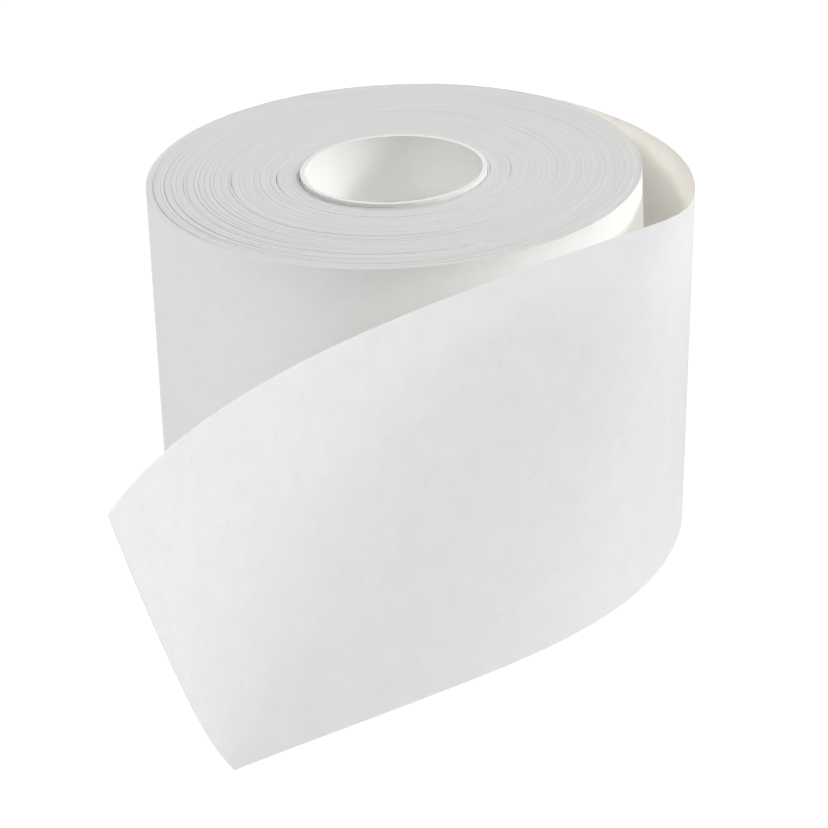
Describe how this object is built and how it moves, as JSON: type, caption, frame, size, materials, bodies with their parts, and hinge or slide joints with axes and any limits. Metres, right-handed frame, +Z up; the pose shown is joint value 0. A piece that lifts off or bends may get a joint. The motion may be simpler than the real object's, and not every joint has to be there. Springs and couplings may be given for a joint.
{
  "type": "paper roll",
  "caption": "Short, wide roll of thin white paper standing on its end, with a thin card core and a loose curling tail with a slanting cut end.",
  "frame": {"origin": "on the roll's axis at the face it stands on, which is the bottom end of the core bore", "axes": "+Z up along the roll's axis, the tail runs across the front at -Y with its cut end at -X"},
  "size_m": [0.0896, 0.1652, 0.0582],
  "materials": {
    "paper": "matt, uncoated, faintly cloudy",
    "core_card": "matt white-lined card",
    "glue": "dried glue film"
  },
  "bodies": {
    "roll": {"core_inner_ply": "core_card", "core_outer_ply": "core_card", "glue_line": "glue", "first_turns": "paper", "inner_winding": "paper", "middle_winding": "paper", "main_winding": "paper", "outer_winding": "paper", "outer_turn": "paper", "tail_root": "paper"},
    "tail_side": {"tail_side": "paper"},
    "tail_front": {"tail_front": "paper"}
  },
  "joints": [
    {"name": "tail_lift", "type": "hinge", "parent": "roll", "child": "tail_side", "pos_m": [0.03496, 0.02155, 0.02851], "axis": [0.0523, -0.0458, 0.9976], "range_deg": [0, 40]},
    {"name": "tail_swing", "type": "hinge", "parent": "tail_side", "child": "tail_front", "pos_m": [0.04523, -0.01992, 0.02924], "axis": [0.0601, 0.0278, 0.9978], "range_deg": [-3, 55]}
  ]
}
